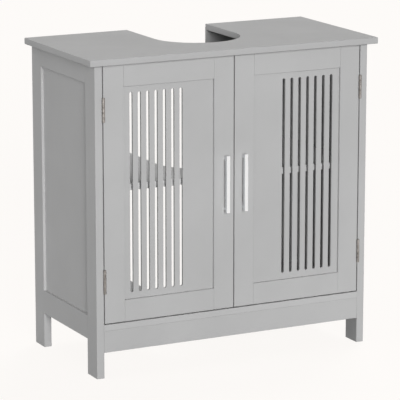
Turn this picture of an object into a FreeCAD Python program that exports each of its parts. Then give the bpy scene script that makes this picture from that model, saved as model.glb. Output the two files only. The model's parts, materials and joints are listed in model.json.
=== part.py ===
import FreeCAD, Part
import math
import os
import re

import Sketcher

# Under-sink vanity cabinet in painted board, made to stand round a basin's pedestal.
# The frame: x runs to the right seen from the front, y to the back, z up. The origin is on
# the floor, under the middle of the worktop. Lengths are millimetres.
# The left half is modelled and the right half mirrors it. The worktop, shelf, bottom panel
# and apron cross the middle.

SIZES = {
    # The whole cabinet
    "width": 600.0,
    "depth": 300.0,
    "height": 600.0,
    "side_overhang": 15.0,
    "front_overhang": 15.0,
    "cutout_width": 170.0,
    "cutout_depth": 210.0,
    # Boards of the carcass
    "top_thickness": 12.0,
    "shelf_thickness": 12.0,
    "bottom_thickness": 12.0,
    "frame_thickness": 15.0,
    "panel_thickness": 4.0,
    "back_thickness": 3.0,
    "leg_depth": 42.0,
    "top_rail_height": 38.0,
    "low_rail_height": 45.0,
    "low_rail_clearance": 68.0,
    "apron_height": 41.0,
    "apron_clearance": 49.0,
    "top_ease": 1.0,
    "frame_ease": 0.5,
    "groove_depth": 7.0,
    "groove_play": 0.1,
    "groove_end_play": 0.3,
    "rabbet_width": 8.0,
    "rabbet_height": 6.0,
    # Doors
    "door_gap": 2.0,
    "door_thickness": 15.0,
    "door_frame_width": 41.0,
    "slot_width": 6.0,
    "slot_pitch": 17.0,
    "slot_margin": 12.0,
    # Pull handles
    "handle_length": 109.0,
    "handle_width": 7.0,
    "handle_bar_depth": 7.5,
    "handle_reach": 14.5,
    "handle_inset": 18.0,
    "handle_ease": 0.8,
    "handle_hole_spacing": 96.0,
    "post_diameter": 6.0,
    "handle_screw_diameter": 4.0,
    "handle_screw_grip": 6.0,
    "handle_screw_head_diameter": 8.0,
    "handle_screw_head_height": 2.2,
    # Hinges
    "hinge_height": 45.0,
    "hinge_inset": 58.0,
    "knuckle_diameter": 5.5,
    "knuckle_play": 0.15,
    "leaf_thickness": 0.9,
    "leaf_width": 13.0,
    "leaf_screw_spacing": 28.0,
    "pin_diameter": 2.8,
    "pin_head_diameter": 4.4,
    "pin_head_height": 0.8,
    "bore_play": 0.25,
    # Shelf and its pins
    "shelf_play": 1.0,
    "seat_play": 0.2,
    "shelf_pin_diameter": 5.0,
    "shelf_pin_reach": 8.0,
    "shelf_pin_hole": 9.0,
    "shelf_pin_inset": 14.0,
    "shelf_pin_pitch": 32.0,
    "collar_diameter": 7.0,
    "collar_thickness": 0.7,
    # Flat-pack fittings
    "cam_diameter": 12.0,
    "cam_depth": 10.0,
    "cam_reach": 22.0,
    "cam_bolt_depth": 6.0,
    "cam_bore": 6.6,
    "bolt_thread_diameter": 5.0,
    "bolt_thread_length": 9.0,
    "bolt_shaft_diameter": 4.0,
    "bolt_tip_diameter": 6.0,
    "bolt_tip_length": 3.0,
    "dowel_diameter": 6.0,
    "dowel_short_end": 9.0,
    "dowel_long_end": 16.0,
    "dowel_inset": 8.0,
    "apron_dowel_inset": 10.0,
    "fit_play": 0.05,
    # Wood screws
    "screw_head_diameter": 5.0,
    "screw_head_height": 1.6,
    "screw_rim": 0.25,
    "screw_shank_diameter": 2.6,
    "screw_length": 12.0,
    "panel_screw_margin": 40.0,
    # Magnetic catches
    "catch_length": 40.0,
    "catch_case_length": 24.0,
    "catch_depth": 14.0,
    "catch_height": 12.0,
    "catch_ear_thickness": 2.0,
    "magnet_length": 20.0,
    "magnet_height": 4.0,
    "magnet_depth": 10.0,
    "magnet_setback": 1.0,
    "pole_thickness": 1.2,
    "pole_proud": 0.5,
    "magnet_rise": 5.0,
    "strike_height": 11.0,
    "strike_thickness": 1.0,
    "strike_margin": 1.0,
    "strike_play": 0.3,
    # How far a cutting tool runs past the face that it enters
    "overrun": 5.0,
}

SLOT_COUNT = 7
KNUCKLE_COUNT = 5
PIN_ROWS = (-1, 0, 1)
RAIL_CAM_SHARES = (0.25, 0.75)
LEG_SCREW_SHARES = (0.15, 0.85)
EDGE_SCREW_SHARES = (0.5,)
# Small round pieces and holes have flat sides, which keeps the whole cabinet light
SEEN_SIDES = 8
HIDDEN_SIDES = 6

# Places worked out from the sizes. A name without an axis in it is explained by its group.
PLACES = {
    # x, on the left half
    "outer_face": "-width / 2 + side_overhang",
    "inner_face": "outer_face + frame_thickness",
    "frame_middle": "outer_face + frame_thickness / 2",
    "side_panel_outer": "outer_face + (frame_thickness - panel_thickness) / 2",
    "side_panel_inner": "side_panel_outer + panel_thickness",
    "back_panel_edge": "inner_face - rabbet_width",
    "cutout_edge": "-cutout_width / 2",
    "hinge_edge": "inner_face + door_gap",
    "meeting_edge": "-door_gap / 2",
    "hinge_stile_edge": "hinge_edge + door_frame_width",
    "meeting_stile_edge": "meeting_edge - door_frame_width",
    "handle_x": "meeting_edge - handle_inset",
    "hinge_x": "inner_face + door_gap / 2",
    "catch_x": "meeting_edge - door_frame_width / 2",
    "cam_x": "inner_face + cam_reach",
    "rail_bolt_x": "inner_face - cam_bolt_depth",
    # y
    "front_face": "-depth / 2 + front_overhang",
    "back_face": "depth / 2",
    "front_leg_back": "front_face + leg_depth",
    "back_leg_front": "back_face - leg_depth",
    "front_leg_middle": "front_face + leg_depth / 2",
    "back_leg_middle": "back_face - leg_depth / 2",
    "apron_back": "front_face + frame_thickness",
    "apron_middle": "front_face + frame_thickness / 2",
    "apron_bolt_y": "apron_back - cam_bolt_depth",
    "back_panel_front": "back_face - back_thickness",
    "cutout_centre": "back_face - cutout_depth + cutout_width / 2",
    "door_back": "front_face + door_thickness",
    "door_middle": "front_face + door_thickness / 2",
    "door_panel_front": "front_face + (door_thickness - panel_thickness) / 2",
    "door_panel_back": "door_panel_front + panel_thickness",
    "handle_front": "front_face - handle_reach",
    "handle_bar_back": "handle_front + handle_bar_depth",
    "hinge_y": "front_face - knuckle_diameter / 2 - knuckle_play",
    "shelf_front": "door_back + shelf_play",
    "shelf_back": "back_panel_front - shelf_play",
    "pole_front": "door_back + strike_thickness + strike_play",
    "catch_front": "pole_front + pole_proud",
    # z
    "frame_top": "height - top_thickness",
    "top_rail_under": "frame_top - top_rail_height",
    "low_rail_top": "low_rail_clearance + low_rail_height",
    "bottom_under": "apron_clearance + apron_height",
    "bottom_middle": "bottom_under + bottom_thickness / 2",
    "bottom_top": "bottom_under + bottom_thickness",
    "back_panel_top": "frame_top + rabbet_height - groove_end_play",
    "apron_mid_height": "apron_clearance + apron_height / 2",
    "cam_height": "frame_top - cam_reach",
    "bottom_bolt_height": "bottom_under + cam_bolt_depth",
    "shelf_pin_height": "(bottom_top + frame_top) / 2",
    "shelf_under": "shelf_pin_height + shelf_pin_diameter / 2 + seat_play",
    "shelf_top": "shelf_under + shelf_thickness",
    "door_under": "bottom_top + door_gap",
    "door_top": "frame_top - door_gap",
    "door_mid_height": "(door_under + door_top) / 2",
    "low_opening": "door_under + door_frame_width",
    "high_opening": "door_top - door_frame_width",
    "lower_hinge_foot": "door_under + hinge_inset",
    "upper_hinge_foot": "door_top - hinge_inset - hinge_height",
    "magnet_middle": "frame_top - catch_height + magnet_rise",
    # Lengths
    "tongue": "groove_depth - groove_end_play",
    "knuckle_step": f"hinge_height / {KNUCKLE_COUNT}",
}

ORIGIN = FreeCAD.Vector(0, 0, 0)
TURN_X = FreeCAD.Vector(1, 0, 0)
TURN_Y = FreeCAD.Vector(0, 1, 0)
DIRECTIONS = {
    "+x": FreeCAD.Rotation(TURN_Y, 90),
    "-x": FreeCAD.Rotation(TURN_Y, -90),
    "+y": FreeCAD.Rotation(TURN_X, -90),
    "-y": FreeCAD.Rotation(TURN_X, 90),
    "+z": FreeCAD.Rotation(),
    "-z": FreeCAD.Rotation(TURN_X, 180),
}
WORD = re.compile(r"[a-z][a-z_]*")

doc = FreeCAD.newDocument("VanityCabinet")
sheet = doc.addObject("Spreadsheet::Sheet", "Sizes")
for row, (alias, size) in enumerate(SIZES.items(), start=1):
    sheet.set(f"A{row}", alias)
    sheet.set(f"B{row}", str(size))
    sheet.setAlias(f"B{row}", alias)
doc.recompute()

nodes = {}
drillings = {}


def spell(place):
    """Write a place out in the cells of the sheet."""
    def cell(found):
        name = found.group()
        if name in SIZES:
            return "Sizes." + name
        if name in PLACES:
            return "(" + spell(PLACES[name]) + ")"
        raise ValueError(f"no size or place is named {name}")
    return WORD.sub(cell, place)


def value(place):
    """The present length of a place, in millimetres."""
    return float(sheet.evalExpression(spell(place)))


def bind(thing, field, place):
    """Tie one field of an object to a place."""
    thing.setExpression(field, spell(place))


def move_to(thing, point):
    """Tie the three coordinates of an object to a point."""
    for axis, place in zip("xyz", point):
        bind(thing, "Placement.Base." + axis, place)


def along(point, direction, distance):
    """The point that lies a distance away along one of the six directions."""
    moved = list(point)
    which = "xyz".index(direction[1])
    moved[which] = f"{point[which]} {direction[0]} ({distance})"
    return tuple(moved)


def opposite(direction):
    """The direction that looks the other way."""
    return ("-" if direction[0] == "+" else "+") + direction[1]


# Solids

def block(name, x, y, z):
    """A square-edged block between two places on each axis."""
    solid = doc.addObject("Part::Box", name)
    for side, (low, high) in zip(("Length", "Width", "Height"), (x, y, z)):
        bind(solid, side, f"({high}) - ({low})")
    move_to(solid, (x[0], y[0], z[0]))
    return solid


def rod(name, point, direction, diameter, length, sides=SEEN_SIDES):
    """A thin round bar that starts at a point and runs along a direction."""
    solid = doc.addObject("Part::Prism", name)
    solid.Polygon = sides
    solid.Placement = FreeCAD.Placement(ORIGIN, DIRECTIONS[direction])
    bind(solid, "Circumradius", f"({diameter}) / 2")
    bind(solid, "Height", length)
    move_to(solid, point)
    return solid


def taper(name, point, direction, wide, narrow, length, sides=HIDDEN_SIDES):
    """A thin bar with a short straight rim at a point, which narrows along a direction."""
    body = doc.addObject("PartDesign::Body", name)
    body.Placement = FreeCAD.Placement(ORIGIN, DIRECTIONS[direction])
    move_to(body, point)
    bar = body.newObject("PartDesign::AdditivePrism", name + "_bar")
    bar.Polygon = sides
    bind(bar, "Circumradius", f"({wide}) / 2")
    bind(bar, "Height", length)
    slope = body.newObject("PartDesign::Chamfer", name + "_slope")
    slope.Base = (bar, [f"Face{sides + 2}"])
    slope.ChamferType = "Two distances"
    inward = math.cos(math.pi / sides)
    bind(slope, "Size", f"(({wide}) - ({narrow})) / 2 * {inward}")
    bind(slope, "Size2", f"{length} - screw_rim")
    return body


def fuse(name, solids):
    """One solid from several that touch or overlap."""
    whole = doc.addObject("Part::MultiFuse", name)
    whole.Shapes = solids
    return whole


def cut(name, base, tools):
    """A solid with tools taken out of it."""
    left = doc.addObject("Part::Cut", name)
    left.Base = base
    left.Tool = tools[0] if len(tools) == 1 else fuse(name + "_tools", tools)
    return left


def mirror(name, source):
    """The same thing on the right half."""
    other = doc.addObject("Part::Mirroring", name)
    other.Source = source
    other.Base = ORIGIN
    other.Normal = TURN_X
    return other


def group(name, solids):
    """Separate solids kept together."""
    bunch = doc.addObject("Part::Compound", name)
    bunch.Links = solids
    return bunch


def node(label, thing):
    """Keep an object as a piece of the cabinet under its own name."""
    thing.Label = label
    nodes[label] = thing
    return thing


def pair(name, thing):
    """Keep a left piece and its mirror image on the right."""
    node("left_" + name, thing)
    node("right_" + name, mirror("right_" + name, thing))


def both_halves(label, solids):
    """Keep like pieces of both halves as one group."""
    left = group(label + "_left", solids)
    node(label, group(label, [left, mirror(label + "_right", left)]))


# Boards

def outline(body, name, plane, corners, half_turns=()):
    """A closed outline through named corners; the edges listed turn clockwise in a half circle."""
    face = next(item for item in body.Origin.OriginFeatures if item.Role == plane)
    sketch = body.newObject("Sketcher::SketchObject", name)
    sketch.AttachmentSupport = (face, [""])
    sketch.MapMode = "FlatFace"
    points = [FreeCAD.Vector(value(u), value(v), 0) for u, v in corners]
    count = len(points)
    for index in range(count):
        here = points[index]
        ahead = points[(index + 1) % count]
        if index in half_turns:
            middle = (here + ahead) / 2
            circle = Part.Circle(middle, FreeCAD.Vector(0, 0, 1), (here - middle).Length)
            edge = Part.ArcOfCircle(circle, circle.parameter(ahead), circle.parameter(here))
        else:
            edge = Part.LineSegment(here, ahead)
        sketch.addGeometry(edge, False)
    start, end, centre = 1, 2, 3
    for index, corner in enumerate(corners):
        previous = (index - 1) % count
        first = end if index in half_turns else start
        last = start if previous in half_turns else end
        sketch.addConstraint(Sketcher.Constraint("Coincident", previous, last, index, first))
        pin(sketch, index, first, corner)
        if index in half_turns:
            pin(sketch, index, centre, (None, corner[1]))
    return sketch


def pin(sketch, edge, end, corner):
    """Hold one point of an edge at named places along the sketch's axes."""
    for kind, place in zip(("DistanceX", "DistanceY"), corner):
        if place is not None:
            rule = Sketcher.Constraint(kind, -1, 1, edge, end, value(place))
            number = sketch.addConstraint(rule)
            bind(sketch, f"Constraints[{number}]", place)


def thicken(body, sketch, thickness, ease=None):
    """Give an outline its thickness, with every arris sanded off where an ease is given."""
    pad = body.newObject("PartDesign::Pad", body.Name + "_pad")
    pad.Profile = sketch
    bind(pad, "Length", thickness)
    if ease is not None:
        arris = body.newObject("PartDesign::Chamfer", body.Name + "_arris")
        arris.Base = (pad, [""])
        arris.UseAllEdges = True
        bind(arris, "Size", ease)


def board(name, x, y, z, ease="frame_ease"):
    """A flat board with its arrises sanded off."""
    body = doc.addObject("PartDesign::Body", name)
    corners = [(x[0], y[0]), (x[1], y[0]), (x[1], y[1]), (x[0], y[1])]
    sketch = outline(body, name + "_outline", "XY_Plane", corners)
    thicken(body, sketch, f"({z[1]}) - ({z[0]})", ease)
    bind(body, "Placement.Base.z", z[0])
    return body


def pedestal_board(name, side, front, back, z, ease=None):
    """A board across the cabinet, with the round-ended cut-out open at its back edge."""
    body = doc.addObject("PartDesign::Body", name)
    right = f"-({side})"
    corners = [
        (side, front),
        (right, front),
        (right, back),
        ("-cutout_edge", back),
        ("-cutout_edge", "cutout_centre"),
        ("cutout_edge", "cutout_centre"),
        ("cutout_edge", back),
        (side, back),
    ]
    sketch = outline(body, name + "_outline", "XY_Plane", corners, half_turns=(4,))
    thicken(body, sketch, f"({z[1]}) - ({z[0]})", ease)
    bind(body, "Placement.Base.z", z[0])
    return body


# Drilled joints. Each adds its holes to the boards that it enters.

def drill(host, name, point, direction, diameter, depth, sides=HIDDEN_SIDES):
    """A round hole in a board, entered from outside the point."""
    entry = along(point, opposite(direction), "overrun")
    tool = rod(name, entry, direction, diameter, f"{depth} + overrun", sides)
    drillings.setdefault(host, []).append(tool)


def dowel(name, point, direction, near_host, far_host, near_depth, far_depth):
    """A wooden dowel across the joint of two boards, in a hole in each."""
    back = opposite(direction)
    wide = "dowel_diameter + 2 * fit_play"
    drill(near_host, name + "_near_hole", point, back, wide, near_depth)
    drill(far_host, name + "_far_hole", point, direction, wide, far_depth)
    start = along(point, back, f"{near_depth} - groove_end_play")
    length = f"{near_depth} + {far_depth} - 2 * groove_end_play"
    return rod(name, start, direction, "dowel_diameter", length, HIDDEN_SIDES)


def cam_joint(name, point, reach, opening, face_point, host, receiver):
    """A cam and its bolt: the bolt is screwed into one board and the cam sits in the other.

    point is where the bolt crosses the joint and reach its way into the host. face_point is
    the middle of the cam on the host's face, and opening the way that the face looks.
    """
    back = opposite(reach)
    inward = opposite(opening)
    thread_hole = "bolt_thread_diameter + 2 * fit_play"
    drill(receiver, name + "_thread_hole", point, back, thread_hole, "bolt_thread_length")
    bolt_way = "cam_reach + bolt_tip_length / 2 + groove_end_play"
    drill(host, name + "_bolt_hole", point, reach, "cam_bore", bolt_way)
    pocket = "cam_diameter + 2 * fit_play"
    drill(host, name + "_cam_hole", face_point, inward, pocket, "cam_depth + groove_play",
          SEEN_SIDES)

    thread_end = along(point, back, "bolt_thread_length - groove_end_play")
    thread_length = "bolt_thread_length - groove_end_play"
    tip_start = along(point, reach, "cam_reach - bolt_tip_length / 2")
    bolt = fuse(name + "_bolt", [
        rod(name + "_thread", thread_end, reach, "bolt_thread_diameter", thread_length,
            HIDDEN_SIDES),
        rod(name + "_shaft", point, reach, "bolt_shaft_diameter", "cam_reach", HIDDEN_SIDES),
        rod(name + "_tip", tip_start, reach, "bolt_tip_diameter", "bolt_tip_length",
            HIDDEN_SIDES),
    ])

    disc = rod(name + "_disc", face_point, inward, "cam_diameter", "cam_depth")
    entry = along(point, reach, "cam_reach - cam_diameter / 2 - overrun")
    way_in = "cam_diameter / 2 + bolt_tip_length + overrun"
    bore = rod(name + "_cam_bore", entry, reach, "cam_bore", way_in, HIDDEN_SIDES)
    return bolt, cut(name + "_cam", disc, [bore])


def flat_screw(name, point, direction, hosts, length="screw_length"):
    """A countersunk wood screw with its head flush at a point, and its hole in each host."""
    holes = [
        taper(name + "_sink", point, direction, "screw_head_diameter + 2 * fit_play",
              "screw_shank_diameter + 2 * fit_play", "screw_head_height"),
        rod(name + "_hole", point, direction, "screw_shank_diameter + 2 * fit_play",
            f"{length} + groove_end_play", HIDDEN_SIDES),
    ]
    for host in hosts:
        drillings.setdefault(host, []).extend(holes)
    return fuse(name, [
        taper(name + "_head", point, direction, "screw_head_diameter", "screw_shank_diameter",
              "screw_head_height"),
        rod(name + "_shank", point, direction, "screw_shank_diameter", length, HIDDEN_SIDES),
    ])


def drilled(label, blank):
    """A left-hand board with its holes."""
    return cut(label, blank, drillings[label]) if label in drillings else blank


def drilled_across(label, blank):
    """A board that crosses the middle, with the holes of both halves."""
    left = group(label + "_left_holes", drillings[label])
    return cut(label, blank, [left, mirror(label + "_right_holes", left)])


# Fittings

def make_dowels():
    """Dowels between the worktop, the legs, the bottom panel and the apron."""
    dowels = []
    legs = (
        ("front", "left_front_leg", "front_leg_middle", "front_face + dowel_inset"),
        ("back", "left_back_leg", "back_leg_middle", "back_face - dowel_inset"),
    )
    for which, leg, middle, outer in legs:
        top = ("frame_middle", middle, "frame_top")
        dowels.append(dowel(f"{which}_top_dowel", top, "-z", "worktop", leg,
                            "dowel_short_end", "dowel_long_end"))
        joint = ("inner_face", outer, "bottom_middle")
        dowels.append(dowel(f"{which}_bottom_dowel", joint, "+x", leg, "bottom_panel",
                            "dowel_short_end", "dowel_long_end"))
    for which, rise in (("low", "apron_clearance + apron_dowel_inset"),
                        ("high", "bottom_under - apron_dowel_inset")):
        joint = ("inner_face", "apron_middle", rise)
        dowels.append(dowel(f"apron_{which}_dowel", joint, "+x", "left_front_leg",
                            "front_apron", "dowel_short_end", "dowel_long_end"))
    both_halves("wooden_dowels", dowels)


def make_cam_joints():
    """Cams and bolts that pull the worktop, the bottom panel and the apron to the frames."""
    joints = []
    for number, share in enumerate(RAIL_CAM_SHARES, start=1):
        y = f"front_leg_back + {share} * (back_leg_front - front_leg_back)"
        joints.append(cam_joint(
            f"top_cam_{number}", ("rail_bolt_x", y, "frame_top"), "-z", "+x",
            ("inner_face", y, "cam_height"), "left_top_rail", "worktop"))
    for which, y in (("front", "front_leg_middle"), ("back", "back_leg_middle")):
        joints.append(cam_joint(
            f"{which}_bottom_cam", ("inner_face", y, "bottom_bolt_height"), "+x", "-z",
            ("cam_x", y, "bottom_under"), "bottom_panel", f"left_{which}_leg"))
    joints.append(cam_joint(
        "apron_cam", ("inner_face", "apron_bolt_y", "apron_mid_height"), "+x", "+y",
        ("cam_x", "apron_back", "apron_mid_height"), "front_apron", "left_front_leg"))
    both_halves("cam_bolts", [bolt for bolt, cam in joints])
    both_halves("cam_locks", [cam for bolt, cam in joints])


def make_shelf_pins():
    """Shelf pins in the middle row of holes, with a free row above and below."""
    pins = []
    for which, y in (("front", "front_leg_back - shelf_pin_inset"),
                     ("back", "back_leg_front + shelf_pin_inset")):
        for row in PIN_ROWS:
            rise = f"shelf_pin_height + {row} * shelf_pin_pitch"
            drill(f"left_{which}_leg", f"{which}_pin_hole_{row + 2}", ("inner_face", y, rise),
                  "-x", "shelf_pin_diameter + 2 * fit_play", "shelf_pin_hole", SEEN_SIDES)
        seat = ("inner_face", y, "shelf_pin_height")
        start = along(seat, "-x", "shelf_pin_hole - groove_end_play")
        length = "shelf_pin_hole - groove_end_play + shelf_pin_reach"
        pins.append(fuse(f"{which}_shelf_pin", [
            rod(f"{which}_pin_bar", start, "+x", "shelf_pin_diameter", length),
            rod(f"{which}_pin_collar", seat, "+x", "collar_diameter", "collar_thickness"),
        ]))
    both_halves("shelf_pins", pins)


def make_hinges():
    """Two butt hinges at the left door; the right door's mirror them."""
    pins = []
    frame_screws = []
    door_screws = []
    for which in ("lower", "upper"):
        foot = which + "_hinge_foot"
        frame_label = f"{which}_frame_leaf"
        door_label = f"{which}_door_leaf"
        for sign in "+-":
            rise = f"{foot} + hinge_height / 2 {sign} leaf_screw_spacing / 2"
            name = f"{which}_screw_{'high' if sign == '+' else 'low'}"
            frame_screws.append(flat_screw(
                "frame_" + name, ("inner_face + leaf_thickness", "door_middle", rise), "-x",
                [frame_label, "left_front_leg"]))
            door_screws.append(flat_screw(
                "door_" + name, ("hinge_edge - leaf_thickness", "door_middle", rise), "+x",
                [door_label, "door_hinge_stile"]))
        pair(frame_label, leaf(frame_label, foot, ("inner_face", "inner_face + leaf_thickness"),
                               "hinge_y", (0, 2, 4)))
        pair(door_label, leaf(door_label, foot, ("hinge_edge - leaf_thickness", "hinge_edge"),
                              "hinge_y + pin_diameter / 2", (1, 3)))
        axis = ("hinge_x", "hinge_y", foot)
        low_head = along(axis, "-z", "pin_head_height")
        high_head = along(axis, "+z", "hinge_height")
        pins.append(fuse(f"{which}_hinge_pin", [
            rod(f"{which}_pin", axis, "+z", "pin_diameter", "hinge_height", HIDDEN_SIDES),
            rod(f"{which}_pin_low_head", low_head, "+z", "pin_head_diameter",
                "pin_head_height"),
            rod(f"{which}_pin_high_head", high_head, "+z", "pin_head_diameter",
                "pin_head_height"),
        ]))
    both_halves("hinge_pins", pins)
    both_halves("frame_leaf_screws", frame_screws)
    pair("door_leaf_screws", group("door_leaf_screws", door_screws))


def leaf(name, foot, x, front, own_knuckles):
    """One leaf of a butt hinge: a plate, its own knuckles, and room for the other leaf's."""
    plate = block(name + "_plate", x, (front, "front_face + leaf_width"),
                  (foot, f"{foot} + hinge_height"))
    solids = [plate]
    tools = [rod(name + "_bore", ("hinge_x", "hinge_y", f"{foot} - overrun"), "+z",
                 "pin_diameter + 2 * bore_play", "hinge_height + 2 * overrun", HIDDEN_SIDES)]
    for index in range(KNUCKLE_COUNT):
        start = f"{foot} + {index} * knuckle_step"
        knuckle = f"{name}_knuckle_{index + 1}"
        if index in own_knuckles:
            solids.append(rod(
                knuckle, ("hinge_x", "hinge_y", f"{start} + knuckle_play / 2"), "+z",
                "knuckle_diameter", "knuckle_step - knuckle_play"))
        else:
            tools.append(block(
                knuckle + "_room", (f"{x[0]} - overrun", f"{x[1]} + overrun"),
                ("hinge_y - overrun", "hinge_y + knuckle_diameter / 2 + knuckle_play"),
                (start, f"{start} + knuckle_step")))
    return cut(name, fuse(name + "_solid", solids), tools + drillings[name])


def make_catches():
    """A magnetic catch under the worktop behind each meeting stile, and its strike plate."""
    half = "catch_length / 2"
    case_half = "catch_case_length / 2"
    magnet_half = "magnet_length / 2"
    y = ("catch_front", "catch_front + catch_depth")
    case = block("catch_case", (f"catch_x - {case_half}", f"catch_x + {case_half}"), y,
                 ("frame_top - catch_height", "frame_top"))
    ears = block("catch_ears", (f"catch_x - {half}", f"catch_x + {half}"), y,
                 ("frame_top - catch_ear_thickness", "frame_top"))

    stack_half = "magnet_height / 2 + pole_thickness"
    wide = (f"catch_x - {magnet_half}", f"catch_x + {magnet_half}")
    window = block(
        "catch_window",
        (f"{wide[0]} - groove_play", f"{wide[1]} + groove_play"),
        ("catch_front - overrun", "catch_front + magnet_depth + groove_play"),
        (f"magnet_middle - ({stack_half}) - groove_play",
         f"magnet_middle + {stack_half} + groove_play"))
    magnet = block(
        "catch_magnet", wide, ("catch_front + magnet_setback", "catch_front + magnet_depth"),
        ("magnet_middle - magnet_height / 2", "magnet_middle + magnet_height / 2"))
    pole_depth = ("pole_front", "catch_front + magnet_depth")
    low_pole = block(
        "catch_low_pole", wide, pole_depth,
        (f"magnet_middle - ({stack_half})", "magnet_middle - magnet_height / 2"))
    high_pole = block(
        "catch_high_pole", wide, pole_depth,
        ("magnet_middle + magnet_height / 2", f"magnet_middle + {stack_half}"))
    pair("catch_magnet", group("magnet_stack", [low_pole, magnet, high_pole]))

    screws = []
    ear_middle = "(catch_length + catch_case_length) / 4"
    for sign, which in (("-", "outer"), ("+", "inner")):
        point = (f"catch_x {sign} {ear_middle}", "catch_front + catch_depth / 2",
                 "frame_top - catch_ear_thickness")
        screws.append(flat_screw(f"{which}_catch_screw", point, "+z",
                                 ["catch_case", "worktop"], "screw_length - screw_head_height"))
    pair("catch_case", cut("catch", fuse("catch_solid", [case, ears]),
                           [window] + drillings["catch_case"]))
    both_halves("catch_screws", screws)

    strike_top = "door_top - strike_margin"
    middle = ("catch_x", "door_back + strike_thickness", f"{strike_top} - strike_height / 2")
    screw = flat_screw("strike_screw", middle, "-y", ["strike_plate", "door_meeting_stile"])
    blank = block("strike_blank", (f"catch_x - {case_half}", f"catch_x + {case_half}"),
                  ("door_back", "door_back + strike_thickness"),
                  (f"{strike_top} - strike_height", strike_top))
    pair("strike_plate", cut("strike", blank, drillings["strike_plate"]))
    pair("strike_screw", screw)


# Carcass

def make_side_frame():
    """Legs, rails and the thin panel of the left side; the right side mirrors them."""
    frame_x = ("outer_face", "inner_face")
    groove_x = ("side_panel_outer - groove_play", "side_panel_inner + groove_play")
    panel_x = ("side_panel_outer", "side_panel_inner")
    rail_y = ("front_leg_back", "back_leg_front")
    tongue_y = ("front_leg_back - tongue", "back_leg_front + tongue")
    groove_z = ("low_rail_clearance", "frame_top + overrun")
    along_rail = ("front_leg_back - groove_depth", "back_leg_front + groove_depth")

    drillings["left_front_leg"].append(block(
        "front_leg_groove", groove_x,
        ("front_leg_back - groove_depth", "front_leg_back + overrun"), groove_z))
    drillings["left_back_leg"].append(block(
        "back_leg_groove", groove_x,
        ("back_leg_front - overrun", "back_leg_front + groove_depth"), groove_z))
    drillings["left_back_leg"].append(block(
        "back_leg_rabbet", ("back_panel_edge", "inner_face + overrun"),
        ("back_panel_front", "back_face + overrun"), ("bottom_under", "frame_top + overrun")))
    legs = (
        ("front_leg", ("front_face", "front_leg_back")),
        ("back_leg", ("back_leg_front", "back_face")),
    )
    for name, leg_y in legs:
        blank = board(name + "_blank", frame_x, leg_y, ("0", "frame_top"))
        pair(name, drilled("left_" + name, blank))

    top = board("top_rail_board", frame_x, rail_y, ("top_rail_under", "frame_top"))
    top_tongue = block("top_rail_tongue", panel_x, tongue_y,
                       ("top_rail_under + groove_depth", "frame_top"))
    drillings["left_top_rail"].append(block(
        "top_rail_groove", groove_x, along_rail,
        ("top_rail_under - overrun", "top_rail_under + groove_depth")))
    pair("top_rail", drilled("left_top_rail", fuse("top_rail_blank", [top, top_tongue])))

    low = board("low_rail_board", frame_x, rail_y, ("low_rail_clearance", "low_rail_top"))
    low_tongue = block("low_rail_tongue", panel_x, tongue_y,
                       ("low_rail_clearance", "low_rail_top - groove_depth"))
    low_groove = block("low_rail_groove", groove_x, along_rail,
                       ("low_rail_top - groove_depth", "low_rail_top + overrun"))
    pair("low_rail", cut("low_rail", fuse("low_rail_blank", [low, low_tongue]), [low_groove]))

    pair("side_panel", block("side_panel", panel_x, tongue_y,
                             ("low_rail_top - tongue", "top_rail_under + tongue")))


def make_back_panels():
    """Thin back panels, each screwed into its leg, the worktop and the bottom panel."""
    screws = []
    leg_x = "back_panel_edge + rabbet_width / 2"
    for number, share in enumerate(LEG_SCREW_SHARES, start=1):
        rise = f"bottom_top + {share} * (frame_top - bottom_top)"
        screws.append(flat_screw(f"back_leg_screw_{number}", (leg_x, "back_face", rise), "-y",
                                 ["back_panel", "left_back_leg"]))
    edges = (("low", "bottom_middle", "bottom_panel"),
             ("high", "frame_top + rabbet_height / 2", "worktop"))
    for which, rise, host in edges:
        for number, share in enumerate(EDGE_SCREW_SHARES, start=1):
            x = f"inner_face + {share} * (cutout_edge - inner_face)"
            screws.append(flat_screw(f"back_{which}_screw_{number}", (x, "back_face", rise),
                                     "-y", ["back_panel", host]))
    both_halves("back_panel_screws", screws)

    drillings["worktop"].append(block(
        "worktop_rabbet", ("back_panel_edge", "cutout_edge + overrun"),
        ("back_panel_front", "back_face + overrun"),
        ("frame_top - overrun", "frame_top + rabbet_height")))
    blank = block("back_panel_blank", ("back_panel_edge + groove_end_play", "cutout_edge"),
                  ("back_panel_front", "back_face"), ("bottom_under", "back_panel_top"))
    pair("back_panel", cut("back_panel", blank, drillings["back_panel"]))


def make_cross_boards():
    """Worktop, shelf, bottom panel and apron, which cross the middle."""
    top = pedestal_board("worktop_blank", "-width / 2", "-depth / 2", "back_face",
                         ("frame_top", "height"), "top_ease")
    node("worktop", drilled_across("worktop", top))
    bottom = pedestal_board("bottom_blank", "inner_face", "front_face", "back_panel_front",
                            ("bottom_under", "bottom_top"))
    node("bottom_panel", drilled_across("bottom_panel", bottom))
    node("shelf", pedestal_board("shelf_board", "inner_face + shelf_play", "shelf_front",
                                 "shelf_back", ("shelf_under", "shelf_top")))
    apron = board("apron_blank", ("inner_face", "-(inner_face)"), ("front_face", "apron_back"),
                  ("apron_clearance", "bottom_under"))
    node("front_apron", drilled_across("front_apron", apron))


# Doors

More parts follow.
